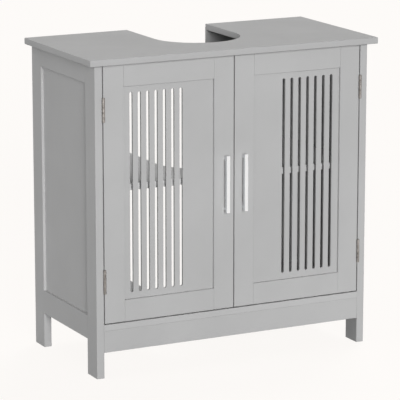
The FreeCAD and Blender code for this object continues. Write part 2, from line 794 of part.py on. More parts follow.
def make_door():
    """Stiles, rails, the slotted panel and the handle of the left door; the right mirrors it."""
    door_y = ("front_face", "door_back")
    panel_y = ("door_panel_front", "door_panel_back")
    groove_y = ("door_panel_front - groove_play", "door_panel_back + groove_play")
    full_z = ("door_under", "door_top")
    groove_z = ("door_under - overrun", "door_top + overrun")
    rail_x = ("hinge_stile_edge", "meeting_stile_edge")
    tongue_x = ("hinge_stile_edge - tongue", "meeting_stile_edge + tongue")
    groove_x = ("hinge_stile_edge - groove_depth", "meeting_stile_edge + groove_depth")

    drillings["door_hinge_stile"].append(block(
        "hinge_stile_groove",
        ("hinge_stile_edge - groove_depth", "hinge_stile_edge + overrun"), groove_y, groove_z))
    drillings["door_meeting_stile"].append(block(
        "meeting_stile_groove",
        ("meeting_stile_edge - overrun", "meeting_stile_edge + groove_depth"), groove_y,
        groove_z))
    stiles = (
        ("door_hinge_stile", ("hinge_edge", "hinge_stile_edge")),
        ("door_meeting_stile", ("meeting_stile_edge", "meeting_edge")),
    )
    for name, stile_x in stiles:
        pair(name, drilled(name, board(name + "_blank", stile_x, door_y, full_z)))

    rails = (
        ("door_top_rail", ("high_opening", "door_top"),
         ("high_opening + groove_depth", "door_top"),
         ("high_opening - overrun", "high_opening + groove_depth")),
        ("door_bottom_rail", ("door_under", "low_opening"),
         ("door_under", "low_opening - groove_depth"),
         ("low_opening - groove_depth", "low_opening + overrun")),
    )
    for name, rail_z, tongue_z, rail_groove_z in rails:
        plank = board(name + "_board", rail_x, door_y, rail_z)
        tongue = block(name + "_tongue", tongue_x, panel_y, tongue_z)
        groove = block(name + "_groove", groove_x, groove_y, rail_groove_z)
        pair(name, cut(name, fuse(name + "_blank", [plank, tongue]), [groove]))

    pair("door_panel", slotted_panel())


def slotted_panel():
    """The thin door panel with its row of round-ended slots beside the hinge stile."""
    body = doc.addObject("PartDesign::Body", "slotted_panel")
    left, right = "hinge_stile_edge - tongue", "meeting_stile_edge + tongue"
    low, high = "low_opening - tongue", "high_opening + tongue"
    corners = [(left, low), (left, high), (right, high), (right, low)]
    thicken(body, outline(body, "panel_outline", "XZ_Plane", corners), "panel_thickness")

    near = "hinge_stile_edge + slot_pitch - slot_width / 2"
    far = "hinge_stile_edge + slot_pitch + slot_width / 2"
    foot = "low_opening + slot_margin + slot_width / 2"
    head = "high_opening - slot_margin - slot_width / 2"
    slot_corners = [(near, foot), (near, head), (far, head), (far, foot)]
    sketch = outline(body, "slot_outline", "XZ_Plane", slot_corners, half_turns=(1, 3))
    slot = body.newObject("PartDesign::Pocket", "slot")
    slot.Profile = sketch
    slot.Type = "ThroughAll"
    slot.Reversed = True
    row = body.newObject("PartDesign::LinearPattern", "slot_row")
    row.Originals = [slot]
    row.Direction = (sketch, ["H_Axis"])
    row.Occurrences = SLOT_COUNT
    bind(row, "Length", f"{SLOT_COUNT - 1} * slot_pitch")
    body.Tip = row
    bind(body, "Placement.Base.y", "door_panel_back")
    return body


def make_handle():
    """A square bar on two round posts, held by two screws from inside the door."""
    half = "handle_width / 2"
    body = doc.addObject("PartDesign::Body", "handle_bar")
    x = (f"handle_x - {half}", f"handle_x + {half}")
    y = ("handle_front", "handle_bar_back")
    corners = [(x[0], y[0]), (x[1], y[0]), (x[1], y[1]), (x[0], y[1])]
    sketch = outline(body, "handle_outline", "XY_Plane", corners)
    thicken(body, sketch, "handle_length", "handle_ease")
    bind(body, "Placement.Base.z", "door_mid_height - handle_length / 2")

    solids = [body]
    tools = []
    screws = []
    for sign, which in (("-", "low"), ("+", "high")):
        rise = f"door_mid_height {sign} handle_hole_spacing / 2"
        seat = ("handle_x", "front_face", rise)
        post = f"{which}_handle"
        solids.append(rod(post + "_post", seat, "-y", "post_diameter",
                          "handle_reach - handle_bar_depth / 2"))
        bore = "handle_screw_diameter + 2 * fit_play"
        tools.append(rod(post + "_thread", seat, "-y", bore,
                         "handle_screw_grip + groove_end_play", HIDDEN_SIDES))
        head_seat = ("handle_x", "door_back", rise)
        drill("door_meeting_stile", post + "_hole", head_seat, "-y", bore,
              "door_thickness + overrun")
        screws.append(fuse(post + "_screw", [
            rod(post + "_screw_head", head_seat, "+y", "handle_screw_head_diameter",
                "handle_screw_head_height"),
            rod(post + "_screw_shank", head_seat, "-y", "handle_screw_diameter",
                "door_thickness + handle_screw_grip", HIDDEN_SIDES),
        ]))
    pair("door_handle", cut("handle", fuse("handle_blank", solids), tools))
    pair("handle_screws", group("handle_screw_pair", screws))


def check(label, thing):
    """Stop where an object failed or its shape is missing or broken."""
    bad = {"Invalid", "Error"} & set(thing.State)
    if bad:
        raise RuntimeError(f"{label}: {', '.join(sorted(bad))}")
    if label in nodes:
        if thing.Shape.isNull() or not thing.Shape.isValid() or not thing.Shape.Solids:
            raise RuntimeError(f"{label}: its shape is missing or broken")


make_dowels()
make_cam_joints()
make_shelf_pins()
make_hinges()
make_catches()
make_handle()
make_back_panels()
make_side_frame()
make_cross_boards()
make_door()
doc.recompute()

for thing in doc.Objects:
    check(thing.Label, thing)

os.makedirs("parts", exist_ok=True)
for label, thing in nodes.items():
    thing.Shape.exportStep(f"parts/{label}.step")
print(f"{len(nodes)} pieces written")
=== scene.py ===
import json
import math

import bmesh
import bpy
from bpy.props import FloatProperty, FloatVectorProperty, IntProperty, PointerProperty
from mathutils import Matrix, Vector

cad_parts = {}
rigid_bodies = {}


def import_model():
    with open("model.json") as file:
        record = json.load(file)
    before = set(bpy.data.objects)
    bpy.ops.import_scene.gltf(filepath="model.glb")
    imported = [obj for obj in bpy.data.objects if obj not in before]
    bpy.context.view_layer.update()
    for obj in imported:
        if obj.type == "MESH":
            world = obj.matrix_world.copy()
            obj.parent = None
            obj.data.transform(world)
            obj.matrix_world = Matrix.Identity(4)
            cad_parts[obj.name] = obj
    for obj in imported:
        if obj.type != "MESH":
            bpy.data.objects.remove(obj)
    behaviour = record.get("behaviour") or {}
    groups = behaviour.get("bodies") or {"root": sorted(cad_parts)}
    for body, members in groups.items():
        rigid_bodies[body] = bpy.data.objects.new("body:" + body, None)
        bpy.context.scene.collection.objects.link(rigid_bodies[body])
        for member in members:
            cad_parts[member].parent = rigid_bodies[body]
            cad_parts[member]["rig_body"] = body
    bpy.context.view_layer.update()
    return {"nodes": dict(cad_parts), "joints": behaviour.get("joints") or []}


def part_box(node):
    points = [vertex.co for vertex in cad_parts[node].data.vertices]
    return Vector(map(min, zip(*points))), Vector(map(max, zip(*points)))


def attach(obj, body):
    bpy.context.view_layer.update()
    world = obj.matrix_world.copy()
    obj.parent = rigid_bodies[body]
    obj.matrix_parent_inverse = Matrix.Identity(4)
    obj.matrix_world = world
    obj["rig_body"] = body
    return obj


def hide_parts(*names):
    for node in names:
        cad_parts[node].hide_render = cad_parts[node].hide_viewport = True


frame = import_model()

bl_info = {
    "name": "Under-sink vanity cabinet",
    "version": (1, 0, 0),
    "blender": (4, 5, 0),
    "location": "View3D > Sidebar > Cabinet",
    "description": "Dresses the vanity cabinet in paint and metal and sets its stage",
    "category": "Object",
}

# Lengths are in metres
MM = 0.001

# Corners nearer than this are one, in a part made here and in the CAD's meshes
MADE_DOUBLES = 1e-6
CAD_DOUBLES = 5e-6

# Faces that meet flatter than the first become one, edges over the second are arrises
FLAT_ANGLE = math.radians(0.5)
SQUARE_ANGLE = math.radians(60)

# Doors and handles
DOOR_FACE_Y = -135 * MM
DOOR_GAP = 2 * MM
SLOT_ARRIS = 0.15 * MM
BAR_DEPTH = 7.5 * MM
POST_RADIUS = 3 * MM
POST_SPACING = 96 * MM
POST_OVERLAP = 0.4 * MM

# Hinges
HINGE_HEIGHT = 45 * MM
LEAF_THICKNESS = 0.9 * MM
LEAF_CORNER = 2.2 * MM
LEAF_ARRIS = 0.15 * MM
HOLE_MOUTH = 2.56 * MM
HOLE_THROAT = 1.98 * MM
KNUCKLE_RADIUS = 2.75 * MM
KNUCKLE_PLAY = 0.15 * MM
KNUCKLE_COUNT = 5
KNUCKLE_ARRIS = 0.22 * MM
STRIP_REACH = 0.6 * MM
STRIP_ARRIS = 0.12 * MM
PIN_RADIUS = 1.4 * MM
PIN_PLAY = 0.08 * MM
PIN_HEAD_RADIUS = 2.2 * MM
PIN_HEAD_HEIGHT = 0.8 * MM

# Countersunk screws. The leaves made here have round holes. The other holes are the CAD's,
# with six sides, and a smaller head fits them.
LEAF_SCREW_RADIUS = 2.5 * MM
PLATE_SCREW_RADIUS = 2.15 * MM
SCREW_HEAD_HEIGHT = 1.6 * MM
SCREW_SHANK_RADIUS = 1.3 * MM
RECESS_TAPER = 0.62

# Catches
CASE_ARRIS = 0.6 * MM
STRIKE_ARRIS = 0.2 * MM
POLE_THICKNESS = 1.2 * MM
POLE_ARRIS = 0.15 * MM
MAGNET_SETBACK = 1.5 * MM
MAGNET_ARRIS = 0.1 * MM

# Fittings
DOWEL_RADIUS = 3 * MM
DOWEL_EASE = 0.7 * MM
CAM_RADIUS = 6 * MM
CAM_DEPTH = 10 * MM
CAM_WALL_START = 3.4 * MM

# Stage
FLOOR_REACH = 20
LIT_FLOOR = (0.40, 0.40, 0.40)
SENSOR_WIDTH = 36
VIEW_DEPTH = 100

SIDES = ("left", "right")
SIDE_SIGNS = {"left": -1, "right": 1}
DOORS = {"left": "left_door", "right": "right_door"}


# Settings

class PaintSettings(bpy.types.PropertyGroup):
    """The paint on every board."""

    colour: FloatVectorProperty(
        name="Paint", description="Colour of the paint on the boards", subtype="COLOR",
        size=3, min=0, max=1, default=(0.500, 0.500, 0.500))
    mottling: FloatProperty(
        name="Mottling", description="How much the paint's tone wanders over a board",
        subtype="FACTOR", min=0, max=0.3, default=0.035)
    roughness: FloatProperty(
        name="Roughness", description="Roughness of the satin film", subtype="FACTOR",
        min=0, max=1, default=0.55)
    grain: FloatProperty(
        name="Grain", description="Size of the sprayed film's pimples", unit="LENGTH",
        min=0.0002, max=0.01, default=0.0016)
    arris: FloatProperty(
        name="Arris", description="Radius sanded on the thin boards' edges", unit="LENGTH",
        min=0, max=0.001, default=0.0004)


class MetalSettings(bpy.types.PropertyGroup):
    """The handles, hinges and small fittings."""

    handle: FloatVectorProperty(
        name="Handle", description="Colour of the brushed handles", subtype="COLOR",
        size=3, min=0, max=1, default=(0.87, 0.885, 0.90))
    hinge: FloatVectorProperty(
        name="Hinge", description="Colour of the hinges' aged plating", subtype="COLOR",
        size=3, min=0, max=1, default=(0.248, 0.236, 0.225))
    zinc: FloatVectorProperty(
        name="Zinc", description="Colour of the plated screws and pins", subtype="COLOR",
        size=3, min=0, max=1, default=(0.62, 0.63, 0.635))
    bar_rounding: FloatProperty(
        name="Bar rounding", description="Radius along the handle bar's edges",
        unit="LENGTH", min=0.0001, max=0.003, default=0.0009)
    round_steps: IntProperty(
        name="Steps", description="Facets round a screw, a pin or a post", min=12, max=64,
        default=28)


class StageSettings(bpy.types.PropertyGroup):
    """The floor, the lights and the camera."""

    backdrop: FloatVectorProperty(
        name="Backdrop", description="Colour of the floor and the backdrop", subtype="COLOR",
        size=3, min=0, max=1, default=(0.985, 0.962, 0.94))
    sky: FloatProperty(
        name="Sky", description="Strength of the light from all round", min=0, max=5,
        default=0.2)
    front_strength: FloatProperty(
        name="Front light", description="Strength of the soft light from the front", min=0,
        max=10, default=2.33)
    front_height: FloatProperty(
        name="Front light's height", description="Its height above the floor",
        subtype="ANGLE", default=math.radians(12))
    front_turn: FloatProperty(
        name="Front light's turn", description="How far it stands to the right of the front",
        subtype="ANGLE", default=math.radians(-13))
    side_strength: FloatProperty(
        name="Side light", description="Strength of the soft light from the left", min=0,
        max=10, default=0.58)
    side_height: FloatProperty(
        name="Side light's height", description="Its height above the floor",
        subtype="ANGLE", default=math.radians(10))
    side_turn: FloatProperty(
        name="Side light's turn", description="How far it stands to the right of the front",
        subtype="ANGLE", default=math.radians(-95))
    back_strength: FloatProperty(
        name="Back light", description="Strength of the soft light from behind and above",
        min=0, max=10, default=1.22)
    back_height: FloatProperty(
        name="Back light's height", description="Its height above the floor",
        subtype="ANGLE", default=math.radians(57))
    back_turn: FloatProperty(
        name="Back light's turn", description="How far it stands to the right of the front",
        subtype="ANGLE", default=math.radians(135))
    light_width: FloatProperty(
        name="Light width", description="Width of the lights, which softens their shadows",
        subtype="ANGLE", default=math.radians(22))
    floor_glow: FloatProperty(
        name="Floor glow", description="Share of the floor's paleness that no shadow takes",
        subtype="FACTOR", min=0, max=1, default=0.95)
    camera_place: FloatVectorProperty(
        name="Camera", description="Where the camera stands", subtype="XYZ", unit="LENGTH",
        size=3, default=(-2.157, -4.226, 1.351))
    camera_drop: FloatProperty(
        name="Camera drop", description="How far the camera looks down", subtype="ANGLE",
        default=math.radians(12.67))
    camera_turn: FloatProperty(
        name="Camera turn", description="How far the camera turns to the right",
        subtype="ANGLE", default=math.radians(27.01))
    lens: FloatProperty(
        name="Lens", description="Focal length of the camera, in millimetres", min=10,
        max=1000, default=227.7)


# Materials

class Finish:
    """One material being put together: its node tree and its shader."""

    def __init__(self, name):
        self.material = bpy.data.materials.new(name)
        self.material.use_nodes = True
        self.nodes = self.material.node_tree.nodes
        self.links = self.material.node_tree.links
        self.nodes.clear()
        self.shader = self.nodes.new("ShaderNodeBsdfPrincipled")
        output = self.nodes.new("ShaderNodeOutputMaterial")
        self.links.new(self.shader.outputs["BSDF"], output.inputs["Surface"])
        self.place = self.nodes.new("ShaderNodeTexCoord")

    def set(self, **sockets):
        """Set plain values on the shader's sockets, with underscores for spaces."""
        for name, value in sockets.items():
            self.shader.inputs[name.replace("_", " ")].default_value = value

    def noise(self, size, stretch=(1, 1, 1), detail=3.0, roughness=0.55):
        """A noise whose patches have a size in metres, drawn out where stretch is small."""
        mapping = self.nodes.new("ShaderNodeMapping")
        mapping.inputs["Scale"].default_value = stretch
        self.links.new(self.place.outputs["Object"], mapping.inputs["Vector"])
        noise = self.nodes.new("ShaderNodeTexNoise")
        noise.inputs["Scale"].default_value = 1 / size
        noise.inputs["Detail"].default_value = detail
        noise.inputs["Roughness"].default_value = roughness
        self.links.new(mapping.outputs["Vector"], noise.inputs["Vector"])
        return noise.outputs["Fac"]

    def spread(self, source, low, high, start=0.3, end=0.7):
        """Turn a noise, from start to end, into a value between two limits."""
        ranged = self.nodes.new("ShaderNodeMapRange")
        ranged.inputs["From Min"].default_value = start
        ranged.inputs["From Max"].default_value = end
        ranged.inputs["To Min"].default_value = low
        ranged.inputs["To Max"].default_value = high
        self.links.new(source, ranged.inputs["Value"])
        return ranged.outputs["Result"]

    def tones(self, source, *stops):
        """Turn a noise into colours, each given with its place on the ramp."""
        ramp = self.nodes.new("ShaderNodeValToRGB")
        elements = ramp.color_ramp.elements
        while len(elements) < len(stops):
            elements.new(0.5)
        for element, (where, colour) in zip(elements, stops):
            element.position = where
            element.color = (*colour, 1)
        self.links.new(source, ramp.inputs["Fac"])
        return ramp.outputs["Color"]

    def blend(self, share, first, second):
        """Mix two colour outputs by a share."""
        mix = self.nodes.new("ShaderNodeMix")
        mix.data_type = "RGBA"
        self.links.new(share, mix.inputs["Factor"])
        self.links.new(first, mix.inputs["A"])
        self.links.new(second, mix.inputs["B"])
        return mix.outputs["Result"]

    def colour(self, source):
        """Take the shader's colour from an output."""
        self.links.new(source, self.shader.inputs["Base Color"])

    def roughness(self, source):
        """Take the shader's roughness from an output."""
        self.links.new(source, self.shader.inputs["Roughness"])

    def bump(self, *layers):
        """Stack bumps, each a noise with its strength and its height in metres."""
        below = None
        for source, strength, height in layers:
            bump = self.nodes.new("ShaderNodeBump")
            bump.inputs["Strength"].default_value = strength
            bump.inputs["Distance"].default_value = height
            self.links.new(source, bump.inputs["Height"])
            if below:
                self.links.new(below, bump.inputs["Normal"])
            below = bump.outputs["Normal"]
        self.links.new(below, self.shader.inputs["Normal"])


def shade(colour, factor):
    """A colour made lighter or darker."""
    return tuple(min(1, part * factor) for part in colour)


def board_paint(name, tone=1.0, grain_share=1.0):
    """Satin paint sprayed and rolled on smooth board, with a faint wander of tone."""
    paint = bpy.context.scene.cabinet_paint
    finish = Finish(name)
    colour = shade(paint.colour, tone)
    clouds = finish.noise(0.16, detail=4)
    light = shade(colour, 1 + paint.mottling)
    dark = shade(colour, 1 - paint.mottling)
    finish.colour(finish.tones(clouds, (0.32, dark), (0.5, colour), (0.68, light)))
    film = finish.noise(0.02, detail=5, roughness=0.6)
    finish.roughness(finish.spread(film, paint.roughness - 0.05, paint.roughness + 0.07))
    grain = paint.grain * grain_share
    pimples = finish.noise(grain, detail=2, roughness=0.4)
    waves = finish.noise(grain * 9, detail=1, roughness=0.3)
    finish.bump((waves, 0.10, 0.0003), (pimples, 0.07, 0.0002))
    finish.set(Specular_IOR_Level=0.08)
    return finish.material


def brushed_metal(name, colour, roughness, line, stretch, streak=0.10):
    """Metal brushed along one way: fine lines in its tone, its gloss and its surface."""
    finish = Finish(name)
    lines = finish.noise(line, stretch, detail=4, roughness=0.65)
    bands = finish.noise(line * 14, stretch, detail=2)
    tone = finish.tones(lines, (0.25, shade(colour, 1 - streak)),
                        (0.75, shade(colour, 1 + streak)))
    soft = finish.tones(bands, (0.3, shade(colour, 0.95)), (0.7, shade(colour, 1.05)))
    half = finish.spread(bands, 0.35, 0.65)
    finish.colour(finish.blend(half, tone, soft))
    finish.roughness(finish.spread(lines, roughness - 0.07, roughness + 0.09))
    finish.bump((lines, 0.12, 0.00005))
    finish.set(Metallic=1.0, Anisotropic=0.35)
    return finish.material


def aged_plating(name, colour):
    """Bronzed nickel plating, darker in patches, with a warm tint where it is rubbed."""
    finish = Finish(name)
    patches = finish.noise(0.006, detail=5, roughness=0.6)
    rubs = finish.noise(0.0024, detail=4, roughness=0.65)
    warm = (colour[0] * 1.12, colour[1] * 1.01, colour[2] * 0.94)
    base = finish.tones(patches, (0.28, shade(colour, 0.6)), (0.5, colour),
                        (0.72, shade(colour, 1.4)))
    tint = finish.tones(rubs, (0.3, shade(colour, 0.9)), (0.75, warm))
    share = finish.spread(rubs, 0.1, 0.7, 0.45, 0.7)
    finish.colour(finish.blend(share, base, tint))
    finish.roughness(finish.spread(patches, 0.26, 0.46))
    fine = finish.noise(0.0005, detail=2)
    finish.bump((rubs, 0.08, 0.0001), (fine, 0.08, 0.00004))
    finish.set(Metallic=1.0)
    return finish.material


def zinc_plating(name, colour):
    """Bright zinc plating with a faint blue and straw bloom and fine pits."""
    finish = Finish(name)
    bloom = finish.noise(0.004, detail=4, roughness=0.6)
    cool = (colour[0] * 0.93, colour[1] * 0.98, colour[2] * 1.06)
    straw = (colour[0] * 1.08, colour[1] * 1.03, colour[2] * 0.9)
    finish.colour(finish.tones(bloom, (0.3, cool), (0.52, colour), (0.72, straw)))
    finish.roughness(finish.spread(bloom, 0.24, 0.4))
    pits = finish.noise(0.0006, detail=3)
    finish.bump((pits, 0.1, 0.00004))
    finish.set(Metallic=1.0)
    return finish.material


def cast_metal(name, colour):
    """Die-cast zinc: dull, grainy and unevenly grey."""
    finish = Finish(name)
    clouds = finish.noise(0.005, detail=5, roughness=0.65)
    finish.colour(finish.tones(clouds, (0.3, shade(colour, 0.78)),
                               (0.7, shade(colour, 1.15))))
    finish.roughness(finish.spread(clouds, 0.48, 0.66))
    grains = finish.noise(0.0005, detail=4, roughness=0.7)
    finish.bump((grains, 0.3, 0.00008))
    finish.set(Metallic=1.0)
    return finish.material


def moulded_plastic(name, colour):
    """Smooth moulded plastic with the mould's fine spark texture."""
    finish = Finish(name)
    clouds = finish.noise(0.01, detail=3)
    finish.colour(finish.tones(clouds, (0.3, shade(colour, 0.96)),
                               (0.7, shade(colour, 1.03))))
    finish.roughness(finish.spread(clouds, 0.38, 0.5))
    spark = finish.noise(0.0004, detail=3, roughness=0.7)
    finish.bump((spark, 0.15, 0.00005))
    finish.set(Specular_IOR_Level=0.5)
    return finish.material


def beech_wood(name):
    """Pale beech with its grain along Z and short darker flecks."""
    finish = Finish(name)
    grain = finish.noise(0.0014, (1, 1, 0.25), detail=5, roughness=0.6)
    flecks = finish.noise(0.0007, detail=3)
    wood = finish.tones(grain, (0.3, (0.50, 0.31, 0.17)), (0.55, (0.63, 0.43, 0.26)),
                        (0.75, (0.70, 0.51, 0.33)))
    dark = finish.tones(flecks, (0.6, (0.63, 0.43, 0.26)), (0.75, (0.36, 0.20, 0.10)))
    finish.colour(finish.blend(finish.spread(flecks, 0, 0.6, 0.58, 0.7), wood, dark))
    finish.roughness(finish.spread(grain, 0.55, 0.72))
    finish.bump((grain, 0.25, 0.0001))
    return finish.material


# Shapes. Each part is a bmesh of its own until it is joined to the piece.

def join(piece, part):
    """Close a part's doubles, turn its faces outwards and add it to a piece."""
    bmesh.ops.remove_doubles(part, verts=part.verts[:], dist=MADE_DOUBLES)
    bmesh.ops.recalc_face_normals(part, faces=part.faces[:])
    mesh = bpy.data.meshes.new("part")
    part.to_mesh(mesh)
    part.free()
    piece.from_mesh(mesh)
    bpy.data.meshes.remove(mesh)


def spin(part, point, direction, profile, steps):
    """Spin a profile of radius and distance pairs about a direction."""
    axis = Vector(direction).normalized()
    side = axis.orthogonal().normalized()
    points = [Vector(point) + axis * distance + side * radius for radius, distance in profile]
    corners = [part.verts.new(where) for where in points]
    lines = [part.edges.new(ends) for ends in zip(corners, corners[1:])]
    bmesh.ops.spin(part, geom=corners + lines, cent=point, axis=axis, angle=2 * math.pi,
                   steps=steps, use_merge=True)
    bmesh.ops.remove_doubles(part, verts=part.verts[:], dist=MADE_DOUBLES)


def turned(point, direction, profile):
    """A closed round part spun from its profile."""
    part = bmesh.new()
    spin(part, point, direction, profile, bpy.context.scene.cabinet_metal.round_steps)
    return part


def rod_profile(radius, start, end, ease):
    """The profile of a round bar with rounded ends."""
    near = ease * 0.29
    return [(0, start), (radius - ease, start), (radius - near, start + near),
            (radius, start + ease), (radius, end - ease), (radius - near, end - near),
            (radius - ease, end), (0, end)]


def slab(low, high, ease, segments=2):
    """A block between two corners, with its arrises rounded."""
    part = bmesh.new()
    bmesh.ops.create_cube(part, size=1)
    size = high - low
    place = Matrix.Translation((low + high) / 2) @ Matrix.Diagonal((*size, 1))
    bmesh.ops.transform(part, matrix=place, verts=part.verts[:])
    round_over(part, part.edges[:], ease, segments)
    return part


def round_over(part, edges, radius, segments):
    """Round some edges of a part."""
    bmesh.ops.bevel(part, geom=edges, offset=radius, offset_type="OFFSET", affect="EDGES",
                    segments=segments, profile=0.5, material=-1, clamp_overlap=True)


def cross_headed(point, inward, profile, arm, width, depth):
    """A round part whose open rim is closed by a face with a cross-shaped recess."""
    part = bmesh.new()
    axis = Vector(inward).normalized()
    spin(part, point, axis, profile, bpy.context.scene.cabinet_metal.round_steps)
    rim = [edge for edge in part.edges if edge.is_boundary]
    side = axis.orthogonal().normalized()
    across = axis.cross(side)
    centre = Vector(point) + axis * profile[0][1]
    half = width / 2
    quarter = [(arm, -half), (arm, half), (half, half)]
    corners = []
    for turn in range(4):
        rotation = Matrix.Rotation(turn * math.pi / 2, 2)
        corners += [rotation @ Vector(corner) for corner in quarter]
    spots = [part.verts.new(centre + side * u + across * v) for u, v in corners]
    mouth = [part.edges.new(ends) for ends in zip(spots, spots[1:] + spots[:1])]
    bmesh.ops.triangle_fill(part, edges=rim + mouth, use_beauty=True)
    walls = bmesh.ops.extrude_edge_only(part, edges=mouth)["geom"]
    bed = [item for item in walls if isinstance(item, bmesh.types.BMVert)]
    bed_edges = [item for item in walls if isinstance(item, bmesh.types.BMEdge)
                 and all(vert in bed for vert in item.verts)]
    for vert in bed:
        vert.co = centre + (vert.co - centre) * RECESS_TAPER + axis * depth
    bmesh.ops.edgeloop_fill(part, edges=bed_edges)
    return part


def flat_screw(point, inward, radius, length):
    """A countersunk screw with a plain shank and a cross recess, flush at a point."""
    head, shank = SCREW_HEAD_HEIGHT, SCREW_SHANK_RADIUS
    profile = [(radius * 0.93, 0.02 * MM), (radius, 0.18 * MM), (shank * 1.04, head),
               (shank, head + 0.4 * MM), (shank, length - 2.6 * MM),
               (shank * 0.55, length - 0.9 * MM), (0, length)]
    return cross_headed(point, inward, profile, arm=radius * 0.62, width=radius * 0.24,
                        depth=1.0 * MM)


def solids(node):
    """The separate solids of a CAD node, each with its lowest and highest corner."""
    shape = bmesh.new()
    shape.from_mesh(frame["nodes"][node].data)
    bmesh.ops.remove_doubles(shape, verts=shape.verts[:], dist=CAD_DOUBLES)
    left = set(shape.verts)
    found = []
    while left:
        bunch = [left.pop()]
        for vert in bunch:
            for edge in vert.link_edges:
                other = edge.other_vert(vert)
                if other in left:
                    left.remove(other)
                    bunch.append(other)
        corners = list(zip(*(vert.co for vert in bunch)))
        found.append((Vector(map(min, corners)), Vector(map(max, corners))))
    shape.free()
    return sorted(found, key=lambda ends: tuple(round(part, 4) for part in ends[0]))


def settle(piece, name, material, node, body=None, smooth_angle=42):
    """Make a piece of a bmesh: smooth it by angle, finish it and let it replace its node."""
    limit = math.radians(smooth_angle)
    for face in piece.faces:
        face.smooth = True
    for edge in piece.edges:
        edge.smooth = len(edge.link_faces) == 2 and edge.calc_face_angle() < limit
    mesh = bpy.data.meshes.new(name)
    piece.to_mesh(mesh)
    piece.free()
    mesh.materials.append(material)
    thing = bpy.data.objects.new(name, mesh)
    bpy.context.scene.collection.objects.link(thing)
    normals = thing.modifiers.new("Even normals", "WEIGHTED_NORMAL")
    normals.keep_sharp = True
    normals.weight = 100
    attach(thing, body or frame["nodes"][node]["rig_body"])
    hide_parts(node)
    return thing


def dressed(node, name, material, arris=0.0, shortest=0.005, smooth_angle=50):
    """A CAD solid with clean faces and its long square arrises rounded over."""
    piece = bmesh.new()
    piece.from_mesh(frame["nodes"][node].data)
    bmesh.ops.remove_doubles(piece, verts=piece.verts[:], dist=CAD_DOUBLES)
    bmesh.ops.dissolve_limit(piece, angle_limit=FLAT_ANGLE, verts=piece.verts[:],
                             edges=piece.edges[:], use_dissolve_boundaries=False)
    if arris:
        square = [edge for edge in piece.edges
                  if edge.is_convex and edge.calc_length() > shortest
                  and edge.calc_face_angle(0) > SQUARE_ANGLE]
        round_over(piece, square, arris, 2)
    return settle(piece, name, material, node, smooth_angle=smooth_angle)


# Operators

class CABINET_OT_carcass(bpy.types.Operator):
    """Paint the worktop, the frames, the panels, the apron and the shelf."""

    bl_idname = "cabinet.carcass"
    bl_label = "Carcass"

    def execute(self, context):
        arris = context.scene.cabinet_paint.arris
        top = board_paint("worktop_paint", tone=0.97)
        frames = board_paint("frame_paint")
        panels = board_paint("panel_paint", tone=1.02)
        # The shelf's paint is 1.38 times lighter than the rest. This is painted light that
        # brightens the shelf top seen through the slots.
        lit_shelf_paint = board_paint("shelf_paint_lightened_as_light", tone=1.38, grain_share=1.3)
        bottom = board_paint("bottom_paint", tone=1.04)
        # The back panels' paint is made darker. This is painted shade that keeps the inside
        # seen through the right door's slots dark.
        shaded_back_paint = board_paint("back_paint_darkened_as_shade", tone=0.68, grain_share=1.3)
        dressed("worktop", "painted_worktop", top)
        dressed("front_apron", "painted_apron", frames)
        dressed("bottom_panel", "painted_bottom", bottom, arris)
        dressed("shelf", "painted_shelf", lit_shelf_paint, arris)
        for side in SIDES:
            for board in ("front_leg", "back_leg", "top_rail", "low_rail"):
                dressed(f"{side}_{board}", f"painted_{side}_{board}", frames)
            dressed(f"{side}_side_panel", f"painted_{side}_side_panel", panels,
                    arris)
            dressed(f"{side}_back_panel", f"painted_{side}_back_panel", shaded_back_paint,
                    arris)
        return {"FINISHED"}


class CABINET_OT_doors(bpy.types.Operator):
    """Paint the stiles, the rails and the slotted panels of both doors."""

    bl_idname = "cabinet.doors"
    bl_label = "Doors"

    def execute(self, context):
        frames = board_paint("door_frame_paint")
        panels = board_paint("door_panel_paint", tone=0.985)
        for side in SIDES:
            for board in ("hinge_stile", "meeting_stile", "top_rail", "bottom_rail"):
                dressed(f"{side}_door_{board}", f"painted_{side}_door_{board}", frames)
            dressed(f"{side}_door_panel", f"slotted_{side}_door_panel", panels,
                    SLOT_ARRIS, shortest=0.0)
        return {"FINISHED"}


class CABINET_OT_handles(bpy.types.Operator):
    """Make the two pull handles: a brushed flat-sided bar on two turned posts."""

    bl_idname = "cabinet.handles"
    bl_label = "Handles"

    def execute(self, context):
        metal = context.scene.cabinet_metal
        brushed = brushed_metal("brushed_handle", metal.handle, roughness=0.2, line=0.0009,
                                stretch=(1, 1, 0.02), streak=0.06)
        for side in SIDES:
            node = f"{side}_door_handle"
            low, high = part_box(node)
            piece = bmesh.new()
            bar_back = low.y + BAR_DEPTH
            join(piece, slab(low, Vector((high.x, bar_back, high.z)), metal.bar_rounding, 4))
            middle = (low + high) / 2
            for sign in (-1, 1):
                foot = Vector((middle.x, DOOR_FACE_Y, middle.z + sign * POST_SPACING / 2))
                reach = DOOR_FACE_Y - bar_back + POST_OVERLAP
                profile = [(0, 0), (POST_RADIUS * 0.96, 0), (POST_RADIUS, 0.25 * MM),
                           (POST_RADIUS, 1.1 * MM), (POST_RADIUS * 0.9, 1.6 * MM),
                           (POST_RADIUS * 0.86, 3.2 * MM), (POST_RADIUS * 0.86, 5.6 * MM),
                           (POST_RADIUS * 0.97, reach), (0, reach)]
                join(piece, turned(foot, (0, -1, 0), profile))
            settle(piece, f"pull_handle_{side}", brushed, node)
        return {"FINISHED"}


